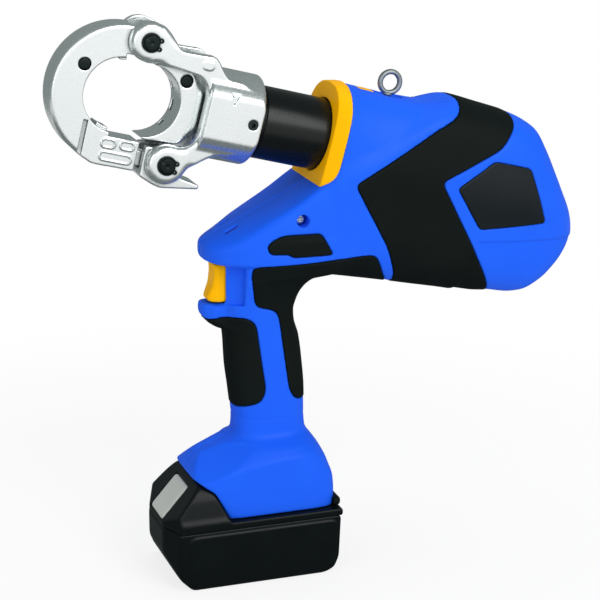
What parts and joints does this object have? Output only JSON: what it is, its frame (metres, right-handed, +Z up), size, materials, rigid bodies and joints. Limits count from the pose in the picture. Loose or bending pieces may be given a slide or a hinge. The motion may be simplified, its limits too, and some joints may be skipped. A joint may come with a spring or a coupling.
{
  "type": "hydraulic crimping tool",
  "caption": "Pistol-shaped cordless hydraulic crimping tool with a hinged C-shaped head that latches shut round a die seat, a turning cylinder, a trigger, and a slide-on battery as its foot.",
  "frame": {"origin": "centre of the flat foot under the battery", "axes": "+Z up, -X toward the crimping head, -Y the side with the bare dark plate"},
  "size_m": [0.3753, 0.0792, 0.3896],
  "materials": {
    "blue_housing": "moulded, satin",
    "yellow_plastic": "moulded, satin",
    "black_soft_grip": "matte overmoulded",
    "dark_plate": "matte, bare",
    "screw_steel": "zinc plated",
    "clear_lens": "clear moulded",
    "pump_aluminium": "turned",
    "bright_steel": "ground",
    "bronze": "turned",
    "black_rubber": "moulded",
    "motor_steel": "plated",
    "winding": "lacquered copper and steel",
    "circuit_board": "solder mask",
    "inner_plastic": "moulded",
    "nickel_head": "nickel plated steel",
    "black_cylinder": "black coated steel",
    "black_pin": "black oxide steel",
    "spring_steel": "drawn wire",
    "eye_steel": "plated wire",
    "battery_black": "moulded, fine texture",
    "button_grey": "moulded",
    "cell_wrap": "shrink wrapped steel can",
    "contact_bronze": "stamped"
  },
  "bodies": {
    "housing": {"housing_left": "blue_housing", "housing_right": "blue_housing", "front_collar": "yellow_plastic", "side_grip_left": "black_soft_grip", "side_grip_right": "black_soft_grip", "small_grip_left": "black_soft_grip", "small_grip_right": "black_soft_grip", "handle_front_grip": "black_soft_grip", "handle_rear_grip": "black_soft_grip", "side_plate": "dark_plate", "housing_screws": "screw_steel", "work_light_lenses": "clear_lens", "pump_block": "pump_aluminium", "pump_plunger": "bright_steel", "cylinder_bearing": "bronze", "release_valve": "bronze", "relief_valve": "bronze", "oil_reservoir": "black_rubber", "gearbox_ring": "motor_steel", "motor_can": "motor_steel", "motor_bearings": "bright_steel", "control_board": "circuit_board", "trigger_switch": "inner_plastic", "terminal_block": "inner_plastic"},
    "rotor": {"motor_rotor": "winding"},
    "eccentric": {"eccentric_shaft": "bright_steel", "eccentric_bearing": "bright_steel", "planet_gears": "bright_steel"},
    "head": {"head_fork": "nickel_head", "cylinder_barrel": "black_cylinder", "hinge_pin": "black_pin", "latch_pin": "black_pin", "pin_circlips": "black_pin", "latch_spring": "spring_steel", "grub_screw": "black_pin", "rod_gland": "bronze", "gland_wiper": "black_rubber", "swivel_seal": "black_rubber", "return_spring": "spring_steel"},
    "yoke": {"c_yoke": "nickel_head"},
    "yoke_button": {"yoke_die_button": "black_pin", "yoke_button_spring": "spring_steel"},
    "latch": {"latch_lever": "nickel_head"},
    "ram": {"ram_jaw": "nickel_head", "piston_rod": "bright_steel", "piston": "bright_steel", "piston_seal": "black_rubber"},
    "ram_button": {"ram_die_button": "black_pin", "ram_button_spring": "spring_steel"},
    "trigger": {"trigger": "yellow_plastic", "trigger_spring": "spring_steel"},
    "return_button": {"return_button": "yellow_plastic"},
    "eye": {"suspension_eye": "eye_steel"},
    "battery": {"battery_case": "battery_black", "battery_cover": "battery_black", "battery_cells": "cell_wrap", "battery_contacts": "contact_bronze", "battery_screws": "screw_steel"},
    "battery_button": {"battery_button": "button_grey", "battery_button_spring": "spring_steel"}
  },
  "joints": [
    {"name": "head_swivel", "type": "hinge", "parent": "housing", "child": "head", "pos_m": [0.03302, 0, 0.31235], "axis": [0.9668, 0, -0.2554], "continuous": true},
    {"name": "yoke_hinge", "type": "hinge", "parent": "head", "child": "yoke", "pos_m": [-0.06403, 0, 0.3776], "axis": [0, 1, 0], "range_deg": [0, 95]},
    {"name": "latch_pivot", "type": "hinge", "parent": "head", "child": "latch", "pos_m": [-0.05548, 0, 0.29643], "axis": [0, -1, 0], "range_deg": [0, 18], "stiffness_Nm_per_rad": 0.8},
    {"name": "ram_slide", "type": "slide", "parent": "head", "child": "ram", "axis": [-0.9668, 0, 0.2554], "range_m": [0, 0.018], "stiffness_N_per_m": 900, "deforming": ["return_spring"]},
    {"name": "yoke_button_press", "type": "slide", "parent": "yoke", "child": "yoke_button", "axis": [0, 1, 0], "range_m": [0, 0.0025], "stiffness_N_per_m": 500, "deforming": ["yoke_button_spring"]},
    {"name": "ram_button_press", "type": "slide", "parent": "ram", "child": "ram_button", "axis": [0, 1, 0], "range_m": [0, 0.0025], "stiffness_N_per_m": 500, "deforming": ["ram_button_spring"]},
    {"name": "trigger_pull", "type": "slide", "parent": "housing", "child": "trigger", "axis": [1, 0, 0], "range_m": [0, 0.006], "stiffness_N_per_m": 900, "deforming": ["trigger_spring"]},
    {"name": "return_button_press", "type": "slide", "parent": "housing", "child": "return_button", "axis": [-0.2554, 0, -0.9668], "range_m": [0, 0.0025], "stiffness_N_per_m": 900},
    {"name": "eye_swivel", "type": "hinge", "parent": "housing", "child": "eye", "pos_m": [0.10551, 0, 0.32836], "axis": [0.2554, 0, 0.9668], "continuous": true},
    {"name": "battery_slide", "type": "slide", "parent": "housing", "child": "battery", "axis": [-1, 0, 0], "range_m": [0, 0.1]},
    {"name": "battery_button_press", "type": "slide", "parent": "battery", "child": "battery_button", "axis": [0.8087, 0, -0.5882], "range_m": [0, 0.003], "stiffness_N_per_m": 700, "deforming": ["battery_button_spring"]},
    {"name": "eccentric_spin", "type": "hinge", "parent": "housing", "child": "eccentric", "pos_m": [0.12197, 0, 0.28885], "axis": [0.9668, 0, -0.2554], "continuous": true},
    {"name": "motor_spin", "type": "hinge", "parent": "housing", "child": "rotor", "pos_m": [0.17804, 0, 0.27403], "axis": [0.9668, 0, -0.2554], "continuous": true}
  ],
  "couplings": [
    {"joint": "motor_spin", "follows": "eccentric_spin", "ratio": 4.6875}
  ]
}
